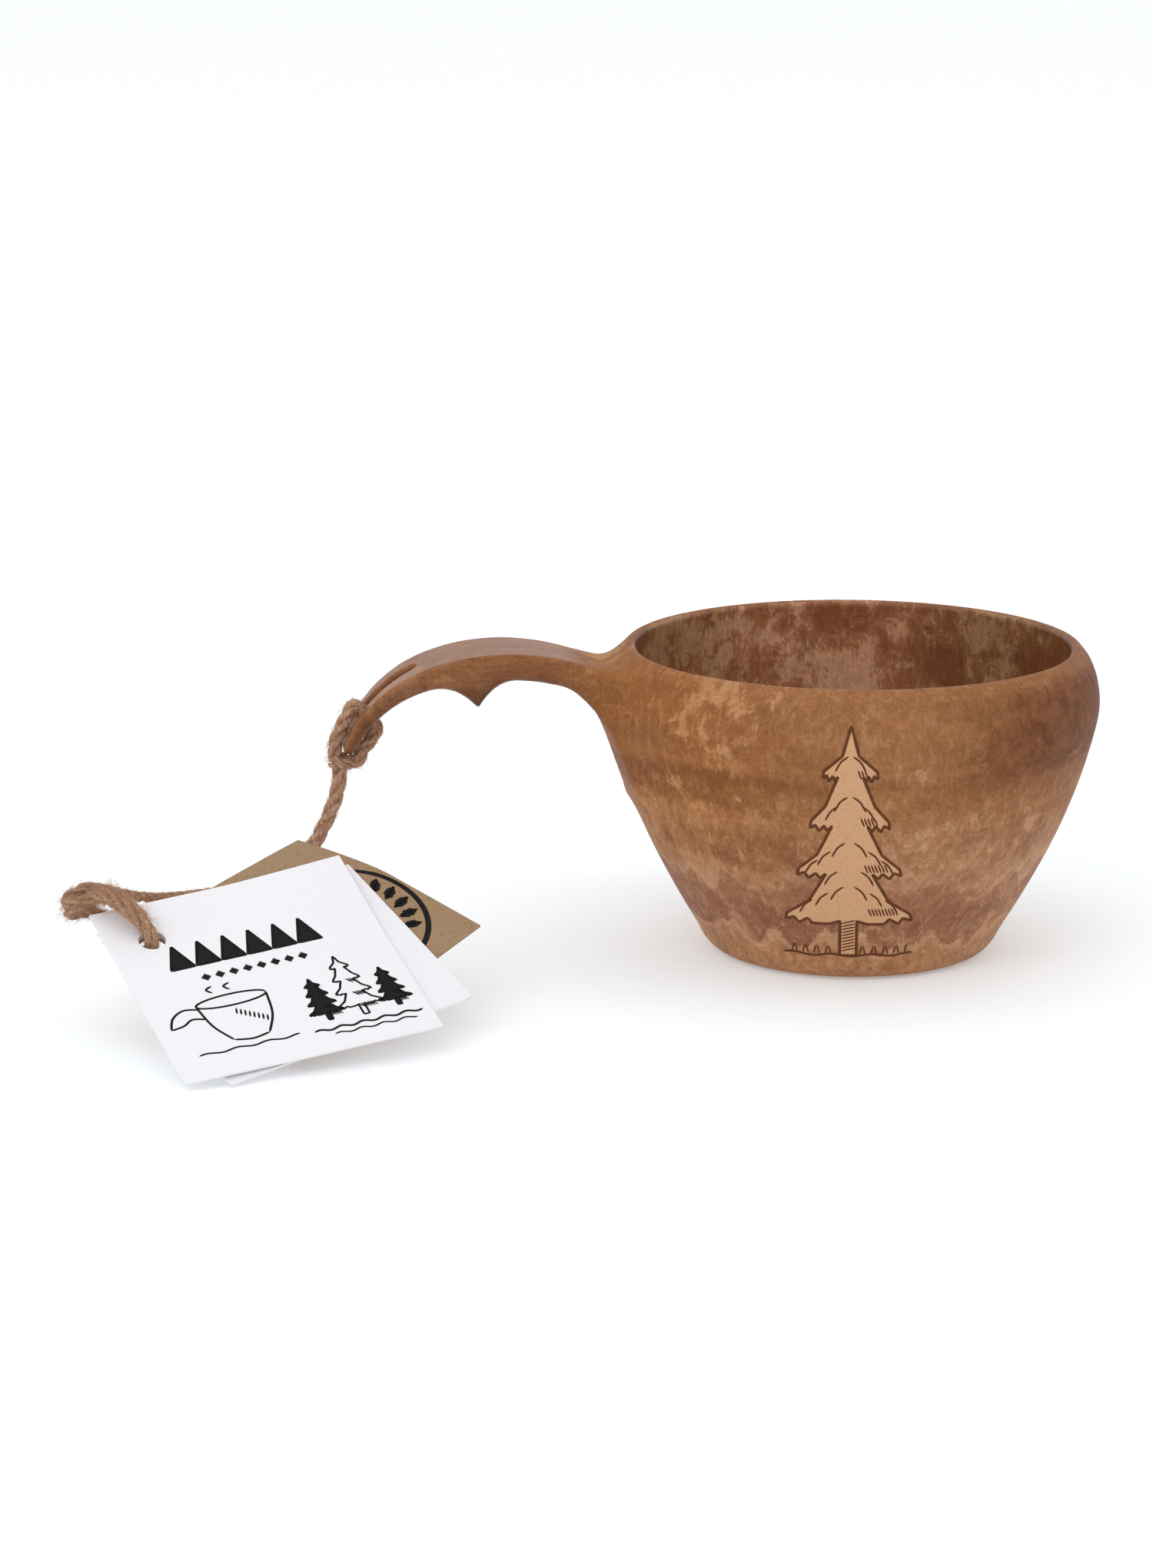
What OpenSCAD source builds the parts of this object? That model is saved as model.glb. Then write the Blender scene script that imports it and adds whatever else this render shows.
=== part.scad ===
// Kuksa: a Nordic drinking cup moulded with its handle in one piece,
// with a jute lanyard hitched to the handle and three card tags on the lanyard.
// Millimetres. Origin at the centre of the foot, +Z up, the handle points along -X.

/* [Bowl] */
// Height of the rim above the foot
cup_h = 72; // [66:0.5:78]
// Radius of the flat foot
foot_r = 29.5; // [26:0.5:31]
// Largest outer radius, just below the rim
bulge_r = 57.2; // [55:0.1:60]
// Radius of the mouth
mouth_r = 50.4; // [47:0.1:51]
// Thickness of the floor of the bowl
floor_t = 4.6; // [3:0.1:6]

/* [Handle] */
// Half width of the handle at its broadest
handle_half_w = 10.7; // [9:0.1:13]
// Thickness of the handle away from the finger ridge
handle_t = 6.4; // [5:0.1:8]
// Thickness of the handle at its tip
tip_t = 2.8; // [2.4:0.1:4]
// Height of the ridge between the two finger hollows
ridge_h = 5.9; // [3:0.1:7]
// Length of each finger hollow
hollow_l = 11; // [8:0.5:14]
// Width of the lanyard slot
slot_w = 5; // [4.4:0.1:6]

/* [Lanyard] */
// Diameter of the doubled cord below the handle
cord_d = 3.2; // [2.8:0.1:3.6]
// Diameter of one leg of the cord
leg_d = 2.2; // [1.8:0.1:2.6]
// Diameter of the frayed ring of cord through the tags
ring_d = 3.4; // [2.4:0.1:3.6]

/* [Tags] */
// Side of the square front tag
tag_size = 59; // [50:1:60]
// Thickness of the card
card_t = 0.5; // [0.3:0.1:0.6]
// Distance between the middles of neighbouring tags
tag_pitch = 0.9; // [0.8:0.1:1.2]
// Radius of the punched hole
hole_r = 3; // [2.5:0.1:3.5]

/* [Hidden] */
$fn = 96;
wood_colour = [0.55, 0.34, 0.20];
jute_colour = [0.55, 0.36, 0.25];
kraft_colour = [0.56, 0.44, 0.30];
card_colour = [0.95, 0.95, 0.96];

// Outline of the bowl's outside, from the foot to the rim, as [radius, height].
outer_outline = [[foot_r, 0], [foot_r + 2.6, 0.8], [foot_r + 4.8, 3], [foot_r + 6.7, 6.5],
                 [41.7, 16], [47.8, 28], [52.6, 40], [55.6, 50], [bulge_r, 58],
                 [bulge_r - 0.5, 64], [bulge_r - 2.1, 68.5], [mouth_r + 2.7, cup_h - 0.7],
                 [mouth_r + 1.9, cup_h]];
// Outline of the hollow, from the rim down to the middle of the floor.
inner_outline = [[mouth_r, cup_h - 0.8], [mouth_r + 0.3, 66], [mouth_r + 0.2, 58],
                 [mouth_r - 0.6, 50], [47.8, 40], [43.2, 28], [37.2, 17], [31.4, 10],
                 [25, 6.4], [16, floor_t + 0.2]];

// Middle of the handle's top face, from inside the bowl's wall to the tip, as [x, z].
top_line = [[-50, 67.6], [-57, 68.3], [-64, 70.2], [-71, 72], [-79, 73], [-87, 72.8], [-95, 71.4],
            [-103, 68.4], [-109.5, 64], [-114.6, 58.4], [-117.6, 53], [-119, 49.2]];
// Half width of the handle at the same places.
half_widths = [16, 13, 11.3, 10.5, handle_half_w, handle_half_w, 10.4, 9.8, 8.7, 7.2, 5.6, 3.2];
// How much deeper the handle is where it flares into the bowl.
root_depths = [20, 5.5, 0.4, 0, 0, 0, 0, 0, 0, 0, 0, 0];
ridge_x = -89.6;
taper_l = 28;
line_steps = 4;
slot_near = [-104.4, 68.2];
slot_far = [-113.8, 59.3];

// The stack of tags hangs on a ring of cord. This is the middle of its punched hole.
stack_pos = [-163.5, -57, 20.2];
stack_tilt = [23.5, -6, 18.5];
// Each tag is [width, height, hole from its left edge, hole from its top edge, turn].
front_shape = [tag_size, tag_size, 10, 12.6, 0];
rear_shape = [60.5, 51.5, 8, 4, 9];
kraft_shape = [60.5, 52.6, 5, 5, 28];

// Routes of the cords, as [x, y, z] points along their middle lines.
hitch_centre = [-119.5, 0, 46.5];
hitch_r = 2.6;
hitch_route = [[-120.3, 0, 47.4], [-120.6, 0, 49.6], [-120.1, 0, 51.8], [-119.2, 0, 54],
               [-118.2, 0, 56.2], [-117.2, 0, 58.2], [-115.9, 0, 59.8], [-114.4, 0, 59.4],
               [-113.2, 0, 57.6], [-111.6, 0, 56.2], [-110.5, 0, 54.6], [-110.9, 0, 52.6],
               [-112.4, 0, 50.6], [-114, 0, 48.8], [-115.2, 0, 46.8], [-117.4, 0, 46.3]];
upper_route = [[-119.4, 0, 43.6], [-119.9, 0, 40], [-120.8, 0, 37], [-122.2, -0.6, 33.8],
               [-124, -1.4, 30.4], [-126, -2.4, 27.4], [-128.4, -3.8, 25], [-131.6, -5.8, 22.9]];
split_centre = [-133.4, -6.8, 22.2];
back_route = [[-134.6, -6.8, 22], [-139, -9.4, 21], [-144, -12.6, 20.6], [-149, -16, 20.6],
              [-154, -19.4, 21], [-159, -23, 21.6], [-163, -26, 22.4], [-167, -29.4, 23.8],
              [-171, -32.6, 25.6], [-175, -36, 27.6], [-178, -38.8, 28.6], [-179.2, -41.2, 28.4]];
front_route = [[-134, -7.6, 21.2], [-137.4, -10.6, 17.6], [-142, -14.2, 14], [-147.4, -18.2, 12],
               [-153, -22.4, 11.6], [-158.6, -26.6, 12.8], [-163.6, -30.6, 15.2],
               [-168.2, -34.4, 18], [-172.4, -38.2, 20.8], [-175.6, -41.4, 23.4]];
knot_centre = [-177.6, -43.2, 25.6];
// The ring's route is in the stack's own plane: [up the tags, out of the tags].
ring_route = [[17.4, 2.6], [15.4, 4.4], [12.4, 5.2], [9, 5.2], [5.6, 4.9], [2.6, 4], [0.6, 2],
              [0, 0], [0.6, -2], [2.6, -4.6], [5.6, -6.6], [9, -7.4], [12.4, -6.6], [15.4, -4.4],
              [17.4, -1.8]];
ring_turn = 22;

// Point at fraction t between b and c on a smooth curve through a, b, c and d.
function smooth(a, b, c, d, t) =
    0.5 * (2 * b + (c - a) * t + (2 * a - 5 * b + 4 * c - d) * t * t
           + (3 * b - a - 3 * c + d) * t * t * t);
// Smooth curve through all of a list's values, with a number of steps between each two.
function curve(list, steps) =
    let (n = len(list) - 1)
    [for (i = [0 : n - 1], k = [0 : steps - 1])
        smooth(list[max(i - 1, 0)], list[i], list[i + 1], list[min(i + 2, n)], k / steps),
     list[n]];
function unit(v) = v / norm(v);

// Revolved body of the bowl, and the hollow that is cut out of it.
module bowl_body() {
    rotate_extrude()
        polygon(concat([[0, 0]], curve(outer_outline, 3), [[0, cup_h]]));
}
module bowl_hollow() {
    rotate_extrude()
        polygon(concat([[0, cup_h + 2], [mouth_r + 0.6, cup_h + 2], [mouth_r + 0.6, cup_h]],
                       curve(inner_outline, 3), [[0, floor_t]]));
}

// One cross-section of the handle: a crisp top face, upright sides and a rounded underside.
function ridge(x) =
    let (u = abs(x - ridge_x) / hollow_l)
    u < 1 ? ridge_h * (1 - u) * (1 - u) : 0;
function thickness(x) =
    let (f = min(1, max(0, (x + 119) / taper_l)))
    tip_t + (handle_t - tip_t) * f + ridge(x);
function section(p, down, w, depth) =
    [for (q = [[-w + 0.8, 0], [w - 0.8, 0], [w, 0.8], [w, 0.55 * depth], [w - 0.7, 0.82 * depth],
               [0.72 * w, depth], [-0.72 * w, depth], [-w + 0.7, 0.82 * depth],
               [-w, 0.55 * depth], [-w, 0.8]])
        [p[0] + down[0] * q[1], q[0], p[1] + down[1] * q[1]]];
module handle_body() {
    line = curve(top_line, line_steps);
    wide = curve(half_widths, line_steps);
    root = curve(root_depths, line_steps);
    n = len(line) - 1;
    sides = 10;
    rings = [for (i = [0 : n])
        let (step = unit(line[min(i + 1, n)] - line[max(i - 1, 0)]),
             lean = min(1, max(0, (-60 - line[i][0]) / 12)),
             down = unit([-step[1] * lean, -1 + lean * (1 + step[0])]))
        section(line[i], down, wide[i], thickness(line[i][0]) + root[i])];
    points = [for (ring = rings) for (p = ring) p];
    faces = concat(
        [[for (k = [0 : sides - 1]) k]],
        [for (i = [0 : n - 1], k = [0 : sides - 1])
            [i * sides + k, (i + 1) * sides + k, (i + 1) * sides + (k + 1) % sides,
             i * sides + (k + 1) % sides]],
        [[for (k = [sides - 1 : -1 : 0]) n * sides + k]]);
    polyhedron(points, faces);
}
// Cutter for the lanyard slot, square to the handle's sloping end.
module slot_cutter() {
    length = norm(slot_far - slot_near);
    slope = atan2(slot_near[1] - slot_far[1], slot_near[0] - slot_far[0]);
    translate([slot_far[0], 0, slot_far[1]])
        rotate([0, -slope, 0])
            translate([0, 0, -14]) {
                cylinder(d = slot_w, h = 24);
                translate([length, 0, 0])
                    cylinder(d = slot_w, h = 24);
                translate([0, -slot_w / 2, 0])
                    cube([length, slot_w, 24]);
            }
}
module cup() {
    color(wood_colour)
        difference() {
            union() {
                bowl_body();
                handle_body();
            }
            bowl_hollow();
            slot_cutter();
        }
}

// Tube swept along a list of points. side is a direction that the route never runs along.
module tube(route, d, side) {
    n = len(route) - 1;
    sides = 8;
    points = [for (i = [0 : n])
        let (along = unit(route[min(i + 1, n)] - route[max(i - 1, 0)]),
             u = unit(cross(along, side)),
             v = cross(along, u))
        for (k = [0 : sides - 1])
            route[i] + (cos(360 * k / sides) * u + sin(360 * k / sides) * v) * d / 2];
    faces = concat(
        [[for (k = [0 : sides - 1]) k]],
        [for (i = [0 : n - 1], k = [0 : sides - 1])
            [i * sides + k, (i + 1) * sides + k, (i + 1) * sides + (k + 1) % sides,
             i * sides + (k + 1) % sides]],
        [[for (k = [sides - 1 : -1 : 0]) n * sides + k]]);
    color(jute_colour)
        polyhedron(points, faces);
}
// Squat round knot, turned about the vertical.
module knot(centre, r, h) {
    color(jute_colour)
        translate(centre)
            rotate_extrude($fn = 24)
                polygon([for (a = [-90 : 22.5 : 90]) [r * cos(a), h / 2 * sin(a)]]);
}
module hitch_loop() {
    tube(hitch_route, cord_d - 0.2, [0, 1, 0]);
}
module hitch_knot() {
    knot(hitch_centre, hitch_r, 2 * hitch_r);
}
module lanyard_upper() {
    tube(upper_route, cord_d, [0, 1, 0]);
}
module split_knot() {
    knot(split_centre, 2.9, 5);
}
module leg_back() {
    tube(back_route, leg_d, [0, 0, 1]);
}
module leg_front() {
    tube(front_route, leg_d, [0, 0, 1]);
}
module tag_knot() {
    knot(knot_centre, 5.2, 8);
}
module tag_ring() {
    up = [-sin(ring_turn), cos(ring_turn), 0];
    route = [for (p = ring_route) up * p[0] + [0, 0, 1] * p[1]];
    translate(stack_pos)
        rotate(stack_tilt)
            tube(route, ring_d, cross(up, [0, 0, 1]));
}

// A punched card in the stack: layer 1 is the front, -1 is the back.
module tag(shape, layer, colour) {
    color(colour)
        translate(stack_pos)
            rotate(stack_tilt)
                rotate([0, 0, shape[4]])
                    translate([0, 0, layer * tag_pitch - card_t / 2])
                        difference() {
                            translate([-shape[2], shape[3] - shape[1], 0])
                                cube([shape[0], shape[1], card_t]);
                            translate([0, 0, -1])
                                cylinder(r = hole_r, h = card_t + 2, $fn = 48);
                        }
}
module kraft_tag() {
    tag(kraft_shape, -1, kraft_colour);
}
module rear_tag() {
    tag(rear_shape, 0, card_colour);
}
module front_tag() {
    tag(front_shape, 1, card_colour);
}

cup();
hitch_loop();
hitch_knot();
lanyard_upper();
split_knot();
leg_back();
leg_front();
tag_knot();
tag_ring();
kraft_tag();
rear_tag();
front_tag();
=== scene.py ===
"""Looks of a moulded kuksa cup with a jute lanyard and card tags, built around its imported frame."""

import math

import bpy
import numpy as np
from mathutils import Euler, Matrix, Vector


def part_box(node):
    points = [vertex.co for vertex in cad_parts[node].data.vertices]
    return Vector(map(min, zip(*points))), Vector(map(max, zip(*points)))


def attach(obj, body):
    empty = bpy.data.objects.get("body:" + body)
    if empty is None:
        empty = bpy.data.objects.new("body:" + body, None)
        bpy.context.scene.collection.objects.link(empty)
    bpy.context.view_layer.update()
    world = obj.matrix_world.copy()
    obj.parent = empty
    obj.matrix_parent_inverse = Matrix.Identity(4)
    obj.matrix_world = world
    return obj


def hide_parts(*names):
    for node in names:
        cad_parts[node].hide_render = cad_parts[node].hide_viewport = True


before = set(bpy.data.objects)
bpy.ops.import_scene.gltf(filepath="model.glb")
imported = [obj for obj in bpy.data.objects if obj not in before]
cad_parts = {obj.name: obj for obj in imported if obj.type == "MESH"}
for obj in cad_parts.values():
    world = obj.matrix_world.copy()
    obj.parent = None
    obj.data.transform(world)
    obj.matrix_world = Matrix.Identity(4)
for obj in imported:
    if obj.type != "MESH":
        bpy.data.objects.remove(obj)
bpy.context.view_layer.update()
MM = 0.001
rng = np.random.default_rng(7)

# ---------------------------------------- sizes, in millimetres
CUP_LOW, CUP_HIGH = (np.array(corner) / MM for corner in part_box("cup"))
BULGE_R = CUP_HIGH[1]
CUP_H = 72.0
FOOT_R = 29.5
MOUTH_R = 50.4
FLOOR_T = 4.6
OUTER = [(FOOT_R, 0), (32.1, 0.8), (34.3, 3), (36.2, 6.5), (41.7, 16), (47.8, 28), (52.6, 40),
         (55.6, 50), (BULGE_R, 58), (BULGE_R - 0.5, 64), (BULGE_R - 2.1, 68.5),
         (MOUTH_R + 2.7, CUP_H - 0.7), (MOUTH_R + 1.9, CUP_H)]
INNER = [(MOUTH_R, CUP_H - 0.8), (MOUTH_R + 0.3, 66), (MOUTH_R + 0.2, 58), (MOUTH_R - 0.6, 50),
         (47.8, 40), (43.2, 28), (37.2, 17), (31.4, 10), (25, 6.4), (16, FLOOR_T + 0.2)]

# The handle: its top line as (x, z), its half widths there, and its extra depth at the root.
TOP_LINE = [(-50, 67.6), (-57, 68.3), (-64, 70.2), (-71, 72), (-79, 73), (-87, 72.8), (-95, 71.4),
            (-103, 68.4), (-109.5, 64), (-114.6, 58.4), (-117.6, 53), (CUP_LOW[0], 49.2)]
HALF_WIDTHS = [16, 13, 11.3, 10.5, 10.7, 10.7, 10.4, 9.8, 8.7, 7.2, 5.6, 3.2]
ROOT_DEPTHS = [20, 5.5, 0.4, 0, 0, 0, 0, 0, 0, 0, 0, 0]
HANDLE_T, TIP_T, TIP_TAPER = 6.4, 2.8, 28.0
RIDGE_X, RIDGE_H, HOLLOW_L = -89.6, 5.9, 11.0
SLOT_NEAR, SLOT_FAR, SLOT_W = (-104.4, 68.2), (-113.8, 59.3), 5.0

# The handle's top edges are rounded by EDGE_R at these distances from the bowl's axis, and its lower
# edges by a share of its thickness.
EDGE_AT, EDGE_R = [52, 60, 72, 84], [7, 3.5, 1.2, 0.7]
LOWER_SHARE, MOST_SHARE = 0.42, 0.48
ROOT_FILLET, TIP_ROUND, LIP_ROUND, SLOT_ROUND = 5.0, 2.0, 0.7, 0.8

# The cord's routes, as points along their middle lines.
HITCH_ROUTE = [(-120.3, 0, 47.4), (-120.6, 0, 49.6), (-120.1, 0, 51.8), (-119.2, 0, 54),
               (-118.2, 0, 56.2), (-117.2, 0, 58.2), (-115.9, 0, 59.8), (-114.4, 0, 59.4),
               (-113.2, 0, 57.6), (-111.6, 0, 56.2), (-110.5, 0, 54.6), (-110.9, 0, 52.6),
               (-112.4, 0, 50.6), (-114, 0, 48.8), (-115.2, 0, 46.8), (-117.4, 0, 46.3)]
UPPER_ROUTE = [(-119.4, 0, 43.6), (-119.9, 0, 40), (-120.8, 0, 37), (-122.2, -0.6, 33.8),
               (-124, -1.4, 30.4), (-126, -2.4, 27.4), (-128.4, -3.8, 25), (-131.6, -5.8, 22.9)]
SPLIT_CENTRE = (-133.4, -6.8, 22.2)
BACK_ROUTE = [(-134.6, -6.8, 22), (-139, -9.4, 21), (-144, -12.6, 20.6), (-149, -16, 20.6),
              (-154, -19.4, 21), (-159, -23, 21.6), (-163, -26, 22.4), (-167, -29.4, 23.8),
              (-171, -32.6, 25.6), (-175, -36, 27.6), (-178, -38.8, 28.6), (-179.2, -41.2, 28.4)]
FRONT_ROUTE = [(-134, -7.6, 21.2), (-137.4, -10.6, 17.6), (-142, -14.2, 14), (-147.4, -18.2, 12),
               (-153, -22.4, 11.6), (-158.6, -26.6, 12.8), (-163.6, -30.6, 15.2),
               (-168.2, -34.4, 18), (-172.4, -38.2, 20.8), (-175.6, -41.4, 23.4)]
KNOT_CENTRE = (-177.6, -43.2, 25.6)
RING_ROUTE = [(17.4, 2.6), (15.4, 4.4), (12.4, 5.2), (9, 5.2), (5.6, 4.9), (2.6, 4), (0.6, 2),
              (0, 0), (0.6, -2), (2.6, -4.6), (5.6, -6.6), (9, -7.4), (12.4, -6.6), (15.4, -4.4),
              (17.4, -1.8)]
RING_TURN = 22
CORD_D, LEG_D, RING_D, HITCH_D = 3.6, 2.5, 3.4, 3.5
# A ply's own fibres turn once in YARN_LAY, and its ends taper over END_TAPER. PLY_R is its radius as a
# share of the cord's width, for cords of two and three plies.
YARN_LAY, END_TAPER, FIBRE_R = 9.0, 1.2, 0.04
PLY_R = {2: 0.27, 3: 0.255}

# The stack of tags: middle of the punched hole, and the tilt of its plane.
STACK_POS = np.array([-163.5, -57, 20.2])
STACK_AXES = np.array(Euler([math.radians(a) for a in (23.5, -6, 18.5)], "XYZ").to_matrix())
CARD_T, TAG_PITCH, HOLE_R, INK_LIFT = 0.5, 0.9, 3.0, 0.03
# Each tag is (width, height, hole from its left edge, hole from its top edge, turn, layer).
FRONT_TAG = (59, 59, 10, 12.6, 0, 1)
REAR_TAG = (60.5, 51.5, 8, 4, 9, 0)
KRAFT_TAG = (60.5, 52.6, 5, 5, 28, -1)


# ---------------------------------------- curves and meshes
def curve(points, steps):
    """Smooth curve through all the points, with a number of pieces between each two."""
    p = np.asarray(points, float)
    p = p[:, None] if p.ndim == 1 else p
    q = np.vstack([p[:1], p, p[-1:]])
    t = np.linspace(0, 1, steps, endpoint=False)[:, None]
    parts = [0.5 * (2 * b + (c - a) * t + (2 * a - 5 * b + 4 * c - d) * t**2
                    + (3 * b - a - 3 * c + d) * t**3)
             for a, b, c, d in zip(q, q[1:], q[2:], q[3:])]
    return np.vstack([*parts, p[-1:]])


def even(points, spacing):
    """The same line with points about spacing apart."""
    p = np.asarray(points, float)
    along = np.concatenate([[0], np.cumsum(np.linalg.norm(np.diff(p, axis=0), axis=1))])
    places = np.linspace(0, along[-1], max(2, round(along[-1] / spacing) + 1))
    return np.stack([np.interp(places, along, p[:, k]) for k in range(p.shape[1])], 1)


def length_of(points):
    return float(np.linalg.norm(np.diff(np.asarray(points, float), axis=0), axis=1).sum())


def unit(v):
    return v / np.maximum(np.linalg.norm(v, axis=-1, keepdims=True), 1e-12)


def ramp(value, start, length):
    """0 up to start, 1 from start + length on, and straight between them."""
    return np.clip((value - start) / length, 0, 1)


def add_mesh(name, points, faces, body, mat, uv=None):
    """New object that rides on a body. Points are in millimetres; faces index them."""
    mesh = bpy.data.meshes.new(name)
    mesh.from_pydata((np.asarray(points) * MM).tolist(), [], np.asarray(faces).tolist())
    mesh.shade_smooth()
    if uv is not None:
        layer = mesh.uv_layers.new(name="UVMap")
        corner = np.zeros(len(mesh.loops), np.int32)
        mesh.loops.foreach_get("vertex_index", corner)
        layer.data.foreach_set("uv", np.asarray(uv, np.float32)[corner].ravel())
    obj = bpy.data.objects.new(name, mesh)
    bpy.context.scene.collection.objects.link(obj)
    obj.data.materials.append(mat)
    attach(obj, body)
    return obj


def grid_faces(rows, columns, closed=False, first=0):
    """Quads of a grid of points, row by row; closed joins each row's end to its start."""
    i, j = np.meshgrid(np.arange(rows - 1), np.arange(columns if closed else columns - 1),
                       indexing="ij")
    k = (j + 1) % columns
    quads = np.stack([i * columns + j, i * columns + k, (i + 1) * columns + k,
                      (i + 1) * columns + j], -1)
    return quads.reshape(-1, 4) + first


# ---------------------------------------- materials
def srgb(red, green, blue):
    """Linear colour of an 8-bit display colour."""
    c = np.array([red, green, blue]) / 255
    return (*np.where(c <= 0.04045, c / 12.92, ((c + 0.055) / 1.055) ** 2.4), 1.0)


class Shader:
    """A material being built. Each method adds a node and gives its output."""

    def __init__(self, name):
        self.material = bpy.data.materials.new(name)
        self.material.use_nodes = True
        self.tree = self.material.node_tree
        self.tree.nodes.clear()

    def add(self, kind, inputs=None, out=0, **settings):
        node = self.tree.nodes.new(kind)
        for key, value in settings.items():
            setattr(node, key, value)
        for key, value in (inputs or {}).items():
            if isinstance(value, bpy.types.NodeSocket):
                self.tree.links.new(value, node.inputs[key])
            else:
                node.inputs[key].default_value = value
        return node.outputs[out] if node.outputs else node

    def place(self, source="Object", scale=(1000, 1000, 1000), offset=(0, 0, 0)):
        """Coordinates scaled to so many features a metre."""
        where = self.add("ShaderNodeTexCoord", out=source)
        return self.add("ShaderNodeMapping", {"Vector": where, "Scale": scale,
                                              "Location": offset})

    def noise(self, where, detail=4.0, rough=0.55, twist=0.0):
        return self.add("ShaderNodeTexNoise", {"Vector": where, "Scale": 1.0, "Detail": detail,
                                               "Roughness": rough, "Distortion": twist})

    def calc(self, kind, a, b=0.0, c=0.0):
        return self.add("ShaderNodeMath", {0: a, 1: b, 2: c}, operation=kind)

    def times(self, a, b):
        return self.calc("MULTIPLY", a, b)

    def step(self, value, low, high, start=0.0, end=1.0):
        """Smooth step from start to end as value goes from low to high."""
        return self.add("ShaderNodeMapRange", {0: value, 1: low, 2: high, 3: start, 4: end},
                        interpolation_type="SMOOTHSTEP")

    def grey(self, value):
        return self.add("ShaderNodeCombineColor", {0: value, 1: value, 2: value})

    def mix(self, share, a, b, kind="MIX"):
        return self.add("ShaderNodeMix", {0: share, 6: a, 7: b}, out=2, data_type="RGBA",
                        blend_type=kind)

    def finish(self, color, rough, height=None, depth=0.0001, strength=1.0, **sockets):
        inputs = {"Base Color": color, "Roughness": rough, **sockets}
        if height is not None:
            inputs["Normal"] = self.add("ShaderNodeBump", {"Height": height, "Distance": depth,
                                                           "Strength": strength})
        surface = self.add("ShaderNodeBsdfPrincipled", inputs)
        self.add("ShaderNodeOutputMaterial", {"Surface": surface})
        return self.material


def fibre_outside(name):
    """Moulded wood fibre: brown flow bands above, a mauve zone below, ragged pale strands."""
    s = Shader(name)
    x, _, z = (s.add("ShaderNodeSeparateXYZ", {0: s.place()}, out=k) for k in range(3))

    # Flow bands, browner above and more mauve below.
    drift = s.noise(s.place(scale=(13, 13, 10), offset=(2, 5, 1)), detail=2)
    level = s.calc("MULTIPLY_ADD", drift, 34.0, s.calc("SUBTRACT", z, 17.0))
    bands = s.noise(s.place(scale=(7, 7, 84)), detail=4, rough=0.55, twist=0.8)
    upper = s.mix(s.step(bands, 0.34, 0.66), srgb(122, 74, 38), srgb(147, 97, 57))
    lower = s.mix(s.step(bands, 0.38, 0.62), srgb(136, 86, 58), srgb(150, 102, 70))
    color = s.mix(s.step(level, 28, 44, 1, 0), upper, lower)

    # Pale fibre in soft and crisp ragged patches, mottle, and fine threads.
    ragged = s.noise(s.place(scale=(85, 85, 105)), detail=10, rough=0.74, twist=0.7)
    strands = s.noise(s.place(scale=(560, 560, 170)), detail=4, rough=0.65, twist=0.9)
    cluster = s.noise(s.place(scale=(30, 30, 52), offset=(7, 2, 4)), detail=3)
    where = s.calc("MULTIPLY_ADD", cluster, 0.65, s.calc("MULTIPLY_ADD", strands, 0.28, ragged))
    lift = s.times(s.step(z, 22, 27), s.step(z, 38, 50, 0.09, 0))
    soft = s.calc("ADD", lift, s.calc("SUBTRACT", where, s.step(level, 24, 46, 0.0, 0.09)))
    color = s.mix(s.step(soft, 0.90, 1.08, 0, 0.52), color, srgb(170, 124, 86))
    crisp = s.calc("SUBTRACT", where, s.step(level, 24, 46, 0.0, 0.05))
    color = s.mix(s.step(crisp, 1.0, 1.06, 0, 0.5), color, srgb(186, 142, 106))
    mottle = s.noise(s.place(scale=(210, 210, 240), offset=(5, 9, 2)), detail=8, rough=0.72, twist=0.6)
    color = s.mix(s.step(mottle, 0.52, 0.62, 0, 0.18), color, srgb(178, 132, 94))
    color = s.mix(s.step(mottle, 0.38, 0.47, 0.3, 0), color, srgb(114, 67, 38))
    color = s.mix(s.step(where, 0.74, 0.88, 0.4, 0), color, srgb(112, 66, 38))
    threads = s.times(s.step(strands, 0.49, 0.65), s.step(level, 26, 46, 0.66, 0.24))
    color = s.mix(threads, color, srgb(178, 134, 101))

    # The mauve zone above the foot, under a scalloped pale edge.
    edge = s.noise(s.place(scale=(95, 95, 40), offset=(1, 1, 3)), detail=8, rough=0.7)
    lace = s.add("ShaderNodeTexVoronoi", {"Vector": s.place(scale=(130, 130, 45), offset=(3, 3, 1)),
                                          "Scale": 1.0})
    height = s.calc("MULTIPLY_ADD", lace, -9.0, s.calc("MULTIPLY_ADD", edge, -9.0, s.calc(
        "MULTIPLY_ADD", strands, -4.0, z)))
    broken = s.step(cluster, 0.38, 0.52, 0.25, 1)
    curtain = s.times(s.step(height, 12.6, 13.3), s.step(height, 13.3, 19, 0.62, 0))
    color = s.mix(s.times(curtain, broken), color, srgb(182, 140, 110))
    zone = s.times(s.step(height, -1, 0.6), s.step(height, 11.6, 13.2, 1, 0))
    color = s.mix(s.times(zone, 0.3), color, srgb(132, 86, 64))

    # A patchy band of painted shade under the rim opposite the handle, and a warmer side next to the
    # handle.
    painted_rim_shade = s.times(s.step(x, 2, 38), s.times(s.step(z, 44, 55), s.step(z, 67, 72, 1, 0)))
    patchy_rim_shade = s.times(painted_rim_shade, s.step(mottle, 0.36, 0.58, 0.95, 0.62))
    color = s.mix(patchy_rim_shade, color, srgb(94, 45, 14))
    warm = s.times(s.step(x, -52, -10, 0.8, 0), s.step(z, 18, 32))
    color = s.mix(warm, color, (1.0, 0.86, 0.58, 1), "MULTIPLY")

    # The pale band round the foot, with a paler upper edge.
    brink = s.times(s.step(height, -3.6, -1.2), s.step(height, -1.0, 0.2, 0.55, 0))
    color = s.mix(s.step(height, -2.2, -0.6, 0.85, 0), color,
                  s.mix(s.step(strands, 0.35, 0.65), srgb(154, 106, 70), srgb(176, 128, 90)))
    color = s.mix(brink, color, srgb(188, 144, 110))

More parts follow.
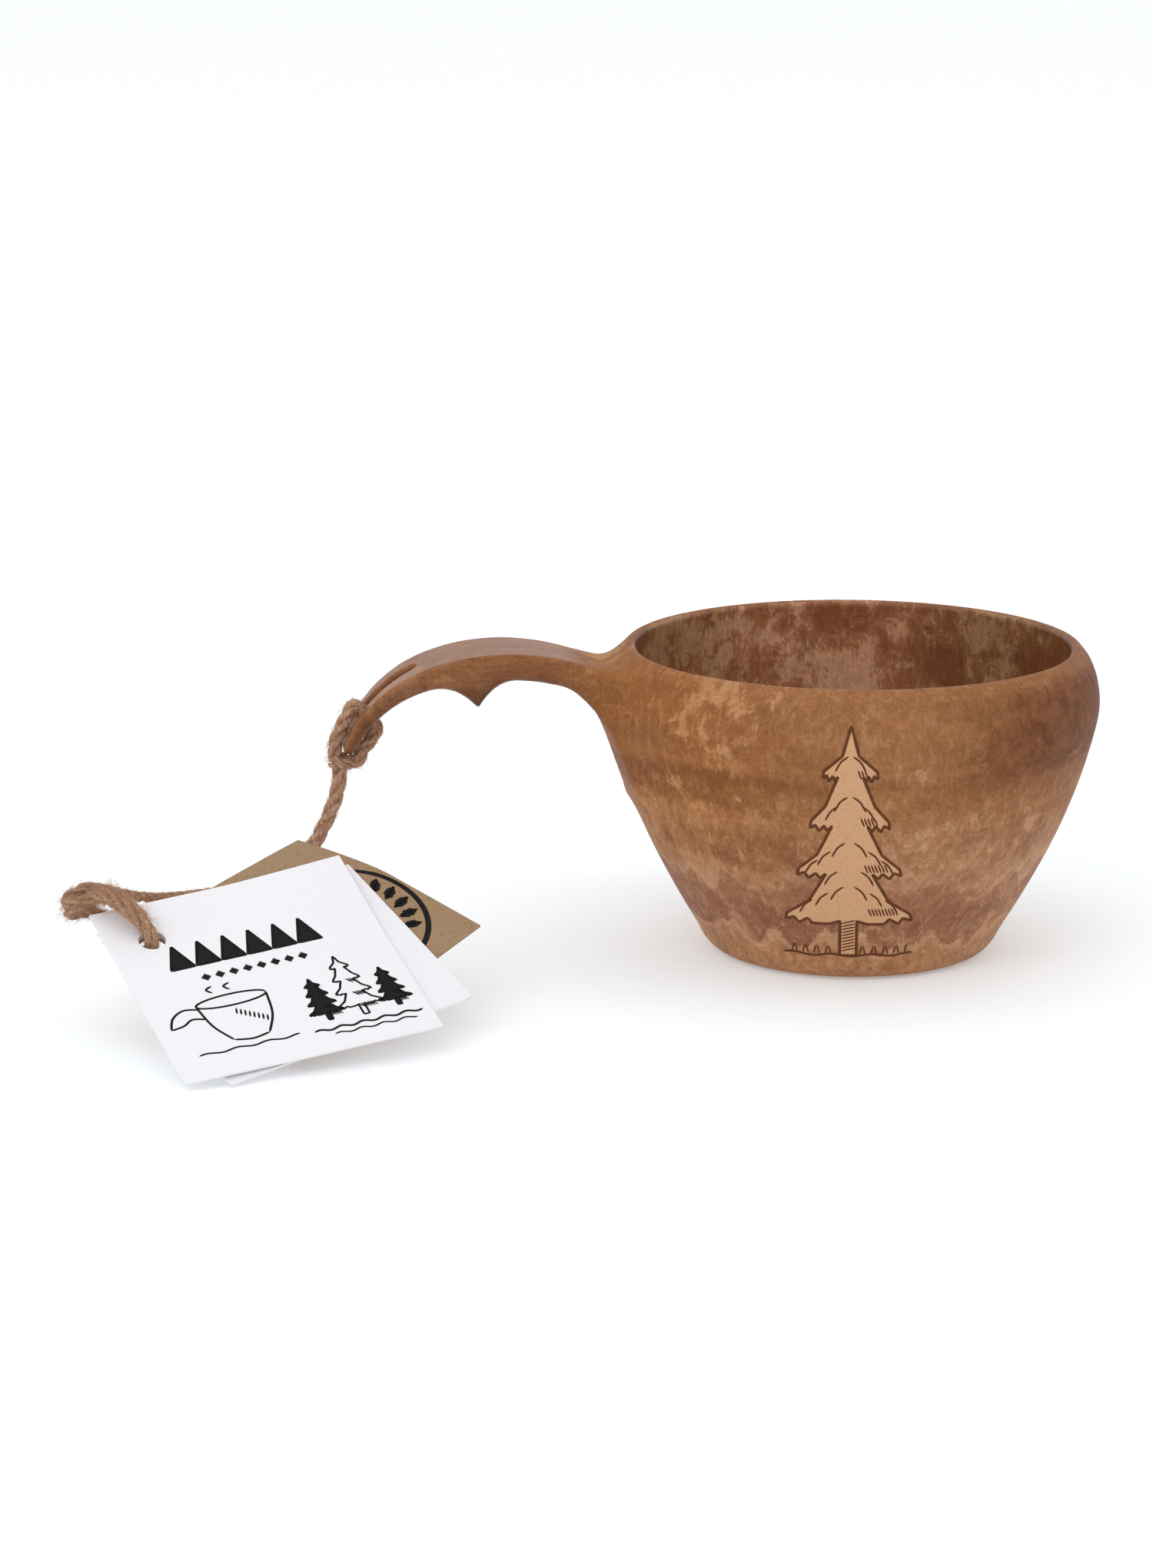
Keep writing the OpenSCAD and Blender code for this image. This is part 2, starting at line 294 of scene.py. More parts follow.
    # The handle's own long grain.
    handle = s.step(x, -72, -57, 1, 0)
    grain = s.noise(s.place(scale=(60, 380, 380)), detail=5, rough=0.66, twist=0.8)
    long = s.mix(s.step(grain, 0.32, 0.68), srgb(120, 71, 38), srgb(139, 91, 55))
    long = s.mix(s.step(where, 1.0, 1.12, 0, 0.35), long, srgb(164, 118, 82))
    color = s.mix(s.times(handle, 0.9), color, long)

    # Fine grit everywhere, painted shade under the handle and at its root, and a few dark dots.
    specks = s.noise(s.place(scale=(1500, 1500, 1200)), detail=3, rough=0.7)
    shade = s.add("ShaderNodeAttribute", out=2, attribute_name="shade")
    grit = s.noise(s.place(scale=(430, 430, 380)), detail=6, rough=0.8)
    grain_and_painted_shade = s.times(s.step(specks, 0.28, 0.72, 0.86, 1.14),
                   s.times(s.step(grit, 0.36, 0.64, 0.88, 1.1), shade))
    color = s.mix(1.0, color, s.grey(grain_and_painted_shade), "MULTIPLY")
    dots = s.add("ShaderNodeTexVoronoi", {"Vector": s.place(scale=(75, 75, 75)), "Scale": 1.0})
    color = s.mix(s.step(dots, 0.02, 0.045, 0.6, 0), color, srgb(60, 30, 16))
    return s.finish(color, s.step(handle, 0, 1, 0.62, 0.35), height=specks, depth=0.00004,
                    strength=0.45, **{"Specular IOR Level": 0.2})


def fibre_inside(name):
    """The same material inside the bowl: red brown with ragged pale clouds, and painted shade at the
    sides.
    """
    s = Shader(name)
    clouds = s.noise(s.place(scale=(46, 46, 60), offset=(4, 0, 2)), detail=4)
    ragged = s.noise(s.place(scale=(170, 170, 150)), detail=10, rough=0.78, twist=0.7)
    strands = s.noise(s.place(scale=(700, 700, 260)), detail=4, rough=0.65, twist=0.6)
    color = s.mix(s.step(clouds, 0.42, 0.58), srgb(128, 76, 45), srgb(146, 93, 58))
    where = s.calc("MULTIPLY_ADD", clouds, 1.0, s.calc("MULTIPLY_ADD", strands, 0.25, ragged))
    color = s.mix(s.step(where, 1.02, 1.22, 0, 0.42), color, srgb(170, 126, 92))
    color = s.mix(s.step(where, 1.16, 1.22, 0, 0.45), color, srgb(196, 154, 120))
    specks = s.noise(s.place(scale=(1300, 1300, 1300)), detail=3, rough=0.7)
    # Painted shade: the inside is lifted a little in its middle and darkens and turns more saturated
    # towards the sides.
    off_middle = s.calc("ABSOLUTE", s.add("ShaderNodeSeparateXYZ", {0: s.place()}))
    grain_and_painted_shade = s.times(s.step(specks, 0.28, 0.72, 0.84, 1.16),
                   s.times(s.step(strands, 0.3, 0.7, 0.84, 1.14), s.step(off_middle, 12, 40, 1.12, 0.7)))
    blue = s.times(grain_and_painted_shade, s.step(off_middle, 12, 40, 1.05, 0.88))
    color = s.mix(1.0, color, s.add("ShaderNodeCombineColor", {0: grain_and_painted_shade, 1: grain_and_painted_shade, 2: blue}), "MULTIPLY")
    return s.finish(color, 0.45, height=specks, depth=0.00004, strength=0.4,
                    **{"Specular IOR Level": 0.25})


def jute(name, base, dark, light):
    """Twisted bast yarn: fine fibres that run along each ply."""
    s = Shader(name)
    strands = s.noise(s.place("UV", scale=(0.9, 9, 1)), detail=5, rough=0.7, twist=0.3)
    blotches = s.noise(s.place(scale=(170, 170, 170)), detail=3)
    color = s.mix(s.step(strands, 0.32, 0.68), dark, light)
    color = s.mix(s.step(blotches, 0.35, 0.7, 0.0, 0.6), color, base)
    return s.finish(color, 0.82, height=strands, depth=0.0004, strength=0.9,
                    **{"Specular IOR Level": 0.25})


def card(name, color, dark, flecks, rough=0.62):
    """Pressed card with a faint fibre fleck."""
    s = Shader(name)
    fleck = s.noise(s.place(scale=(1500, 500, 1500)), detail=4, rough=0.7)
    cloud = s.noise(s.place(scale=(90, 90, 90)), detail=2)
    share = s.times(s.step(fleck, 0.45, 0.75), s.step(cloud, 0.2, 0.8, flecks, 1.4 * flecks))
    return s.finish(s.mix(share, color, dark), rough, height=fleck, depth=0.00002, strength=0.4)


def ink(name, color, rough):
    """Printed or burnt line with a little unevenness."""
    s = Shader(name)
    wear = s.noise(s.place(scale=(900, 900, 900)), detail=3, rough=0.7)
    shade = s.step(wear, 0.3, 0.8, 0.8, 1.35)
    return s.finish(s.mix(1.0, color, s.grey(shade), "MULTIPLY"), rough,
                    **{"Specular IOR Level": 0.12})


OUTSIDE = fibre_outside("wood_fibre_outside")
INSIDE = fibre_inside("wood_fibre_inside")
ETCHED = card("etched_fibre", srgb(194, 147, 106), srgb(164, 116, 78), 0.5, 0.6)
BURNT = ink("burnt_line", srgb(92, 52, 28), 0.6)
JUTE = jute("jute_yarn", srgb(168, 126, 97), srgb(124, 82, 58), srgb(208, 170, 142))
FIBRE = ink("loose_fibre", srgb(192, 150, 120), 0.8)
WHITE_CARD = card("white_card", srgb(231, 229, 232), srgb(222, 220, 224), 0.25)
KRAFT_CARD = card("kraft_card", srgb(154, 124, 91), srgb(112, 84, 58), 0.45, 0.75)
BLACK_INK = ink("black_ink", srgb(24, 22, 22), 0.7)


# ---------------------------------------- the cup as a field of distances
class Table:
    def __init__(self, function, low, high, step=0.25):
        self.low, self.step = np.array(low, float), step
        u, v = np.meshgrid(*(np.arange(a, b, step) for a, b in zip(low, high)), indexing="ij")
        values = function(u.ravel(), v.ravel())
        self.grid = np.stack([a.reshape(u.shape) for a in values], -1)

    def __call__(self, u, v):
        place = (np.stack([u, v], -1) - self.low) / self.step
        place = np.clip(place, 0, np.array(self.grid.shape[:2]) - 1.001)
        i, j = place.astype(int).T
        a, b = (place - np.stack([i, j], -1)).T[:, :, None]
        g = self.grid
        mixed = (g[i, j] * (1 - a) * (1 - b) + g[i + 1, j] * a * (1 - b)
                 + g[i, j + 1] * (1 - a) * b + g[i + 1, j + 1] * a * b)
        return mixed.T


def outline_distance(outline):
    """Function for the signed distance to a closed outline, negative inside."""
    def distance(x, y):
        nearest, inside = np.full(x.shape, np.inf), np.zeros(x.shape, bool)
        for (ax, ay), (bx, by) in zip(outline, np.roll(outline, -1, axis=0)):
            ex, ey = bx - ax, by - ay
            t = np.clip(((x - ax) * ex + (y - ay) * ey) / (ex * ex + ey * ey + 1e-12), 0, 1)
            nearest = np.minimum(nearest, (x - ax - t * ex) ** 2 + (y - ay - t * ey) ** 2)
            if ay != by:
                inside ^= ((ay > y) != (by > y)) & (x < ex * (y - ay) / ey + ax)
        return [np.where(inside, -1, 1) * np.sqrt(nearest)]
    return distance


def mirrored(half):
    """Closed outline of a profile and its mirror image across the axis."""
    half = np.asarray(half, float)
    return np.vstack([half, half[::-1] * (-1, 1)])


def join(a, b, round_mm):
    """Union of two fields with a fillet."""
    h = np.clip(0.5 + 0.5 * (b - a) / round_mm, 0, 1)
    return b + (a - b) * h - round_mm * h * (1 - h)


def cut(a, b, round_mm):
    """Field a without field b, with a rounded edge."""
    return -join(-a, b, round_mm)


PROFILE_STEPS = 10
PROFILE_BOX = ((0, -10), (75, 85))
HANDLE_BOX = ((-128, 30), (-38, 84))

# The hollow's outline goes on over the rim by OPEN_ABOVE, LIP_STEP wider than the mouth.
OPEN_ABOVE, LIP_STEP = 12, 0.6
outer_curve = curve(OUTER, PROFILE_STEPS)
outer_table = Table(outline_distance(mirrored(outer_curve)), *PROFILE_BOX)
hollow_profile = [(MOUTH_R + LIP_STEP, CUP_H + OPEN_ABOVE), (MOUTH_R + LIP_STEP, CUP_H),
                  *curve(INNER, PROFILE_STEPS)]
hollow_table = Table(outline_distance(mirrored(hollow_profile)), *PROFILE_BOX)

line = curve(TOP_LINE, PROFILE_STEPS)
line_share = np.linspace(0, 1, len(line))
line_width = curve(HALF_WIDTHS, PROFILE_STEPS)[:, 0]
ridge = RIDGE_H * np.clip(1 - np.abs(line[:, 0] - RIDGE_X) / HOLLOW_L, 0, 1) ** 2
taper = ramp(line[:, 0], TOP_LINE[-1][0], TIP_TAPER)
line_base = TIP_T + (HANDLE_T - TIP_T) * taper
line_depth = line_base + ridge + curve(ROOT_DEPTHS, PROFILE_STEPS)[:, 0]
line_step = np.linalg.norm(np.gradient(line, axis=0), axis=1)
line_lean = np.sqrt(1 + (np.gradient(line_depth) / line_step) ** 2)
line_edge = np.interp(-line[:, 0], EDGE_AT, EDGE_R)

# A point can be past the handle's tip only in the last part of its line. Elsewhere it is WELL_INSIDE.
LAST_SHARE, WELL_INSIDE = 0.9, 10


def along_handle(x, z):
    """Depth under the handle's top line, share of the way along it, and distance past its tip."""
    nearest = np.full(x.shape, np.inf)
    below, share = np.zeros((2, *x.shape))
    for k, (a, b) in enumerate(zip(line, line[1:])):
        e, px, pz = b - a, x - a[0], z - a[1]
        t = np.clip((px * e[0] + pz * e[1]) / (e @ e), 0, 1)
        far = (px - t * e[0]) ** 2 + (pz - t * e[1]) ** 2
        closer = far < nearest
        nearest = np.where(closer, far, nearest)
        side = np.where(e[0] * pz - e[1] * px > 0, 1, -1)
        below = np.where(closer, side * np.sqrt(far), below)
        share = np.where(closer, (k + t) / (len(line) - 1), share)
    tip = unit(line[-1] - line[-2])
    px, pz = x - line[-1][0], z - line[-1][1]
    at_tip = share > LAST_SHARE
    past = px * tip[0] + pz * tip[1]
    below = np.where((past > 0) & at_tip, tip[0] * pz - tip[1] * px, below)
    return [below, share, np.where(at_tip, past, -WELL_INSIDE)]


handle_table = Table(along_handle, *HANDLE_BOX)
slot_run = np.array(SLOT_NEAR) - SLOT_FAR
slot_length = np.linalg.norm(slot_run)
slot_run /= slot_length

# On the bowl's side of HANDLE_END_X the handle counts as FAR_OFF. The slot is cut for SLOT_REACH to
# both sides of its line.
HANDLE_END_X, FAR_OFF, SLOT_REACH = -45, 20.0, 14


def cup_field(p):
    """Distance to the cup's surface from points in millimetres, negative inside."""
    x, y, z = p.T
    radius = np.hypot(x, y)
    bowl = outer_table(radius, z)[0]
    hollow = hollow_table(radius, z)[0]
    below, share, past = handle_table(x, z)
    width, depth, lean, edge, base = (np.interp(share, line_share, v) for v in (
        line_width, line_depth, line_lean, line_edge, line_base))
    across, middle = np.abs(y), below - depth / 2
    corner = np.where(middle < 0, edge, LOWER_SHARE * base)
    corner = np.minimum(corner, MOST_SHARE * base)
    qx, qz = across - width + corner, np.abs(middle) - depth / 2 + corner
    handle = np.minimum(np.maximum(qx, qz), 0) + np.hypot(np.maximum(qx, 0),
                                                         np.maximum(qz, 0)) - corner
    handle = np.where(middle > 0, handle / lean, handle)
    handle = np.where(x > HANDLE_END_X, FAR_OFF, -join(-handle, -past, TIP_ROUND))
    solid = cut(join(bowl, handle, ROOT_FILLET), hollow, LIP_ROUND)
    u = (x - SLOT_FAR[0]) * slot_run[0] + (z - SLOT_FAR[1]) * slot_run[1]
    v = (z - SLOT_FAR[1]) * slot_run[0] - (x - SLOT_FAR[0]) * slot_run[1]
    slot = np.hypot(u - np.clip(u, 0, slot_length), y) - SLOT_W / 2
    slot = np.maximum(slot, np.abs(v) - SLOT_REACH)
    return cut(solid, slot, SLOT_ROUND)


CORNERS = np.array([[i, j, k] for i in (0, 1) for j in (0, 1) for k in (0, 1)])
EDGES = [(a, b) for a in range(8) for b in range(a + 1, 8)
         if np.abs(CORNERS[a] - CORNERS[b]).sum() == 1]


def surface_of(field, low, high, step, block=4):
    """Points and quads of the surface where a field is zero, by surface nets on a fine grid."""
    low = np.array(low, float)
    blocks = np.ceil((np.array(high) - low) / step / block).astype(int)
    centres = np.stack(np.meshgrid(*((np.arange(n) + 0.5) * block for n in blocks),
                                   indexing="ij"), -1) * step + low
    coarse = field(centres.reshape(-1, 3)).reshape(blocks)
    reach = 1.6 * block * step
    near = np.abs(coarse) < reach
    for axis in range(3):
        coarse, near = np.repeat(coarse, block, axis), np.repeat(near, block, axis)
    value = coarse.astype(np.float32)
    nodes = np.argwhere(near)
    value[near] = field(nodes * step + low)

    inside = value < 0
    count = sum(inside[tuple(slice(c, n - 1 + c) for c, n in zip(corner, value.shape))]
                .astype(np.int8) for corner in CORNERS)
    cells = np.argwhere((count > 0) & (count < 8))
    number = np.full(value.shape, -1, np.int64)
    number[tuple(cells.T)] = np.arange(len(cells))
    corner_value = np.stack([value[tuple((cells + c).T)] for c in CORNERS], 1)
    total, hits = np.zeros((len(cells), 3)), np.zeros((len(cells), 1))
    for a, b in EDGES:
        va, vb = corner_value[:, a], corner_value[:, b]
        crossed = (va < 0) != (vb < 0)
        t = np.where(crossed, va / np.where(crossed, va - vb, 1), 0)[:, None]
        total += np.where(crossed[:, None], CORNERS[a] + t * (CORNERS[b] - CORNERS[a]), 0)
        hits += crossed[:, None]
    points = (cells + total / hits) * step + low

    quads = []
    for axis in range(3):
        ahead = np.eye(3, dtype=int)[axis]
        one, two = np.eye(3, dtype=int)[(axis + 1) % 3], np.eye(3, dtype=int)[(axis + 2) % 3]
        start = inside[tuple(slice(0, n - a) for n, a in zip(inside.shape, ahead))]
        end = inside[tuple(slice(a, n) for n, a in zip(inside.shape, ahead))]
        at = np.argwhere(start != end)
        at = at[(at > 0).all(1)]
        ring = np.stack([number[tuple((at - o).T)] for o in (0 * one, one, one + two, two)], 1)
        out = start[tuple(at.T)]
        quads.append(np.where(out[:, None], ring[:, ::-1], ring)[:, ::-1])
    quads = np.vstack(quads)
    return points, quads[(quads >= 0).all(1)]


def settle(field, points, rounds=3, reach=0.12, least_slope=0.2, longest=0.4):
    """Moves points onto the surface along the field's slope, in moves no longer than longest."""
    for _ in range(rounds):
        slope = np.stack([(field(points + reach * e) - field(points - reach * e)) / (2 * reach)
                          for e in np.eye(3)], 1)
        size = np.maximum((slope**2).sum(1, keepdims=True), least_slope)
        points = points - np.clip(field(points)[:, None] * slope / size, -longest, longest)
    return points


def painted_handle_shade(points):
    """Painted shade on the handle at points in millimetres: darker under it, towards its tip and in the
    saddle where it leaves the bowl."""
    along, aside = points[:, 0], np.abs(points[:, 1])
    below = handle_table(along, points[:, 2])[0]
    side, deep = ramp(below, 0.4, 1.2), ramp(below, 3.2, 7.5)
    near_tip = ramp(-along, 96, 14)
    root = ramp(along, -80, 8) * ramp(below, 8, 5)
    on_handle = ramp(-along, 56, 10) * (1 - root)
    saddle = np.exp(-((along + 56) / 5) ** 2) * side * ramp(-below, -8, 4) * ramp(-aside, -20, 6)
    under = np.clip(0.05 + 0.5 * deep + 0.28 * near_tip, 0, 1)
    return 1 - on_handle * side * under - 0.2 * saddle


GRID, MARGIN = 0.5, 2
# Faces in the hollow, or nearer to it than HOLLOW_EDGE, take the inside's material.
HOLLOW_EDGE = 0.25
cup_points, cup_quads = surface_of(cup_field, CUP_LOW - MARGIN, CUP_HIGH + MARGIN, GRID)
cup_points = settle(cup_field, cup_points)
cup = add_mesh("cup_shell", cup_points, cup_quads, "cup_body", OUTSIDE)
cup.data.materials.append(INSIDE)
middles = cup_points[cup_quads].mean(1)
in_hollow = hollow_table(np.hypot(*middles[:, :2].T), middles[:, 2])[0] < HOLLOW_EDGE
cup.data.polygons.foreach_set("material_index", in_hollow.astype(np.int32))
# Painted shade under the handle and at its root, kept on the mesh as a point attribute for the outside
# material.
shade = painted_handle_shade(cup_points).astype(np.float32)
cup.data.attributes.new("shade", "FLOAT", "POINT").data.foreach_set("value", shade)
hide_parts("cup")


# ---------------------------------------- the cord
def frames(points):
    """Two directions square to a line at each of its points, turning as little as possible."""
    tangent = unit(np.gradient(points, axis=0))
    side, sides = np.cross(tangent[0], (0.31, 0.9, 0.27)), []
    for t in tangent:
        side = unit(side - (side @ t) * t)
        sides.append(side)
    return np.array(sides), np.cross(tangent, sides)


def tube(centre, radius, sides=9, across=0.0):
    """Points, quads and UVs round a line. radius is one number or one for each point."""
    one, two = frames(centre)
    along = np.concatenate([[0], np.cumsum(np.linalg.norm(np.diff(centre, axis=0), axis=1))])
    turn = np.linspace(0, 2 * math.pi, sides + 1)
    spokes = np.cos(turn)[None, :, None] * one[:, None] + np.sin(turn)[None, :, None] * two[:, None]
    radius = np.broadcast_to(radius, len(centre))[:, None, None]
    points = (centre[:, None] + spokes * radius).reshape(-1, 3)
    uv = np.stack(np.broadcast_arrays(along[:, None], turn / (2 * math.pi) + across
                                      + along[:, None] / YARN_LAY), -1).reshape(-1, 2)
    return points, grid_faces(len(centre), sides + 1), uv


def stack_up(parts):
    """One mesh from several (points, quads, uv) parts."""
    points, faces, uvs, count = [], [], [], 0
    for part_points, part_faces, part_uv in parts:
        points.append(part_points)
        faces.append(part_faces + count)
        uvs.append(part_uv)
        count += len(part_points)
    return np.vstack(points), np.vstack(faces), np.vstack(uvs)


def plied(route, diameter, plies, lay, spacing=0.25):
    """Parts of a twisted cord along a route, and its middle line. lay is one full turn's length."""
    centre = even(curve(route, 8), spacing)
    one, two = frames(centre)
    along = np.linspace(0, length_of(centre), len(centre))
    ends = np.clip(np.minimum(along, along[-1] - along) / END_TAPER, 0.05, 1) ** 0.5
    parts = []
    for k in range(plies):
        turn = 2 * math.pi * (along / lay + k / plies)
        unevenness = 1 + 0.07 * np.sin(along * 1.7 + 2.1 * k) + 0.05 * np.sin(along * 4.3 + k)
        ply_r = diameter * PLY_R[plies] * unevenness
        out = (diameter / 2 - ply_r)[:, None]
        middle = centre + out * (np.cos(turn)[:, None] * one + np.sin(turn)[:, None] * two)
        parts.append(tube(middle, ply_r * ends, across=0.37 * k))
    return parts, centre


def fuzz(name, centre, radius, count, reach, body):
    """Loose fibres that stand off a cord, as one mesh of thin bent threads."""
    pick = rng.integers(2, len(centre) - 2, count)
    tangent = unit(centre[pick + 1] - centre[pick - 1]) * rng.choice([-1, 1], (count, 1))
    out = unit(np.cross(tangent, rng.normal(size=(count, 3))))
    heading = unit(tangent + out * rng.uniform(0.15, 1.0, (count, 1)))
    bend = np.cross(heading, rng.normal(size=(count, 3))) * rng.uniform(0.1, 1.0, (count, 1))
    long = reach * rng.uniform(0.35, 1.0, (count, 1)) ** 1.5
    t = np.linspace(0, 1, 7)
    lines = (centre[pick] + out * radius * 0.85)[:, None] + long[:, None] * (
        heading[:, None] * t[None, :, None] + 0.6 * bend[:, None] * (t**2)[None, :, None])
    across = unit(np.cross(heading, out))
    thick = FIBRE_R * (1 - 0.7 * t)[None, :, None, None]
    turn = np.arange(3) * 2 * math.pi / 3
    spokes = (np.cos(turn)[None, :, None] * out[:, None] + np.sin(turn)[None, :, None] * across[:, None])
    points = (lines[:, :, None] + spokes[:, None] * thick).reshape(-1, 3)
    one = grid_faces(len(t), 3, closed=True)
    faces = (one[None] + np.arange(count)[:, None, None] * len(t) * 3).reshape(-1, 4)
    return add_mesh(name, points, faces, body, FIBRE)


def cord_piece(name, route, diameter, node, body, lay, hairs, reach=2.2):
    """A length of three-ply cord with its loose fibres, in place of a CAD node."""
    parts, centre = plied(route, diameter, 3, lay)
    points, faces, uv = stack_up(parts)
    piece = add_mesh(name, points, faces, body, JUTE, uv=uv)
    hair = fuzz(name + "_fuzz", centre, diameter / 2, hairs, reach, body)
    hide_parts(node)


TURN_STEPS = 26


def wraps(name, centre, axis, radius, thickness, turns, pitch, node, body, hairs, reach):
    """A few tight, slightly uneven turns of two-ply cord that make a knot's collar."""
    axis = unit(np.array(axis, float))
    one = unit(np.cross(axis, (0.2, 1, 0.1)))
    two = np.cross(axis, one)
    t = np.linspace(-turns / 2, turns / 2, int(turns * TURN_STEPS))
    turn = (2 * math.pi * t)[:, None]
    route = (np.array(centre) + radius * (np.cos(turn) * one + np.sin(turn) * two)
             + axis * (t * pitch)[:, None] + 0.25 * axis * np.sin(2.3 * turn))
    parts, line = plied(route[::2], thickness, 2, lay=5.0, spacing=0.2)
    points, faces, uv = stack_up(parts)
    piece = add_mesh(name, points, faces, body, JUTE, uv=uv)
    hair = fuzz(name + "_fuzz", line, thickness / 2, hairs, reach, body)
    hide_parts(node)
    return [piece, hair]


hitch_wraps = wraps("hitch_wraps", (-119.2, 0, 46.9), (0.25, 0, 1), radius=2.1, thickness=1.9,
                    turns=1.9, pitch=1.3, node="hitch_knot", body="cup_body", hairs=260, reach=2.8)

# The loop is drawn a little tighter than its route, most of all on the part under the handle.
UNDER_HANDLE, TIGHTER, TIGHT = range(8, 14), 0.10, 0.02
middle = np.mean(HITCH_ROUTE[2:-2], axis=0)
snug = [np.array(p) + (middle - p) * (TIGHTER if k in UNDER_HANDLE else TIGHT)
        for k, p in enumerate(HITCH_ROUTE)]
cord_piece("hitch_cord", snug, HITCH_D, "hitch_loop", "cup_body", lay=12, hairs=900, reach=2.8)

# The upper cord is carried on into the knots at both its ends, and the two legs into the split knot.
split_wraps = wraps("split_wraps", SPLIT_CENTRE, (-0.8, -0.5, -0.2), radius=1.9, thickness=1.9,
                    turns=1.8, pitch=1.7, node="split_knot", body="lanyard_body", hairs=120, reach=2.2)
cord_piece("upper_cord", [(-119.3, 0, 46.2), *UPPER_ROUTE, (-133.6, -7.1, 21.9)], CORD_D,
           "lanyard_upper", "lanyard_body", lay=14, hairs=700)
cord_piece("back_cord", [(-133, -6, 22.2), *BACK_ROUTE], LEG_D, "leg_back",
           "lanyard_body", lay=8, hairs=600)
cord_piece("front_cord", [(-133, -6.6, 21.8), *FRONT_ROUTE], LEG_D, "leg_front",
           "lanyard_body", lay=8, hairs=600)

# The ring lies in a plane square to the tags. Most points of its knot are given from KNOT_CENTRE.
ring_angle = math.radians(RING_TURN)
ring_up = np.array([-math.sin(ring_angle), math.cos(ring_angle), 0])
ring_route = [STACK_POS + STACK_AXES @ (ring_up * up + (0, 0, out)) for up, out in RING_ROUTE]
knot = np.array(KNOT_CENTRE)
knot_strands = [
    [BACK_ROUTE[-2], BACK_ROUTE[-1], knot + (-3.8, 0.8, 2.2), knot + (-4.2, -1.4, 1.0),
     knot + (-2.2, -3.2, 1.6), ring_route[0], ring_route[1]],
    [FRONT_ROUTE[-2], FRONT_ROUTE[-1], knot + (-0.8, 1.8, -2.2), knot + (-3.4, 0.4, -2.0),
     knot + (-3.8, -2.0, -0.6), knot + (-1.0, -3.0, 0.6), ring_route[-1]],
    [knot + (1.5, 0.8, 0.2), knot + (-0.6, 2.4, 1.2), knot + (-3.2, 0.8, 0.4),
     knot + (-3.0, -1.8, 0.2), knot + (-0.2, -2.8, 1.4), knot + (2.4, -2.4, 1.8)]]
beside = STACK_AXES @ (math.cos(ring_angle), math.sin(ring_angle), 0)

# Two more strands run along both sides of the ring's first stretch and close in on it.
CLOSING_IN = (1.3, 1.2, 1.1, 0.9, 0.7, 0.45)
for side, rise in ((1.3, 0.5), (-1.2, 0.3)):
    knot_strands.append([knot + (-3.6, 0.6, -0.5), knot + beside * side * 1.4 + (-1.5, -1.2, 0.6),
                         *(p + beside * side * share + STACK_AXES[:, 2] * rise * share
                           for p, share in zip(ring_route, CLOSING_IN))])
STRAND_D, STRAND_LAY = 2.5, 13.0
knot_parts, knot_lines = [], []
for strand in knot_strands:
    parts, middle = plied(strand, STRAND_D, 3, STRAND_LAY)
    knot_parts += parts
    knot_lines.append(middle)
points, faces, uv = stack_up(knot_parts)
bundle = add_mesh("tag_knot_bundle", points, faces, "lanyard_body", JUTE, uv=uv)
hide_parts("tag_knot")
bundle_fuzz = fuzz("tag_knot_fuzz", np.vstack(knot_lines), STRAND_D / 2, count=2200, reach=4.2,
                   body="lanyard_body")
cord_piece("ring_cord", ring_route, RING_D, "tag_ring", "lanyard_body", lay=16, hairs=1100,
           reach=3.2)


# ---------------------------------------- cards and drawings
DISH_DEPTH, DISH_R = 0.5, 50
# The front card is flat at this place, and its two opposite corners lift from there.
FLAT_U, FLAT_V, LIFT_AREA = 19.5, -17, 870
RIGHT_LIFT, LEFT_LIFT = 1.9, 0.7
KRAFT_DROP, DROP_FROM, DROP_LENGTH = 5.0, 8, 24
BEND_POWER = 1.3


def warp(u, v, layer):
    """How far a card bends out of the stack's plane at a place in it. All cards share one shallow
    dish about the hole, so they turn past each other; the outer two bend further, away from the
    stack."""
    out = -DISH_DEPTH * (u**2 + v**2) / DISH_R**2
    if layer > 0:
        lift = np.clip((u - FLAT_U) * (v - FLAT_V) / LIFT_AREA, 0, None) ** BEND_POWER
        out = out + lift * np.where(u > FLAT_U, RIGHT_LIFT, LEFT_LIFT)
    if layer < 0:
        out = out - KRAFT_DROP * ramp(v, DROP_FROM, DROP_LENGTH) ** BEND_POWER
    return out


def stack_place(local, turn, out, layer):
    """Points in millimetres from places on a tag, given from the middle of its hole."""
    a = math.radians(turn)
    x, y = np.asarray(local, float).T
    u, v = x * math.cos(a) - y * math.sin(a), x * math.sin(a) + y * math.cos(a)
    flat = np.stack([u, v, warp(u, v, layer) + out], 1)
    return STACK_POS + flat @ STACK_AXES.T


CARD_SPOKES, CARD_ROWS = 120, 30


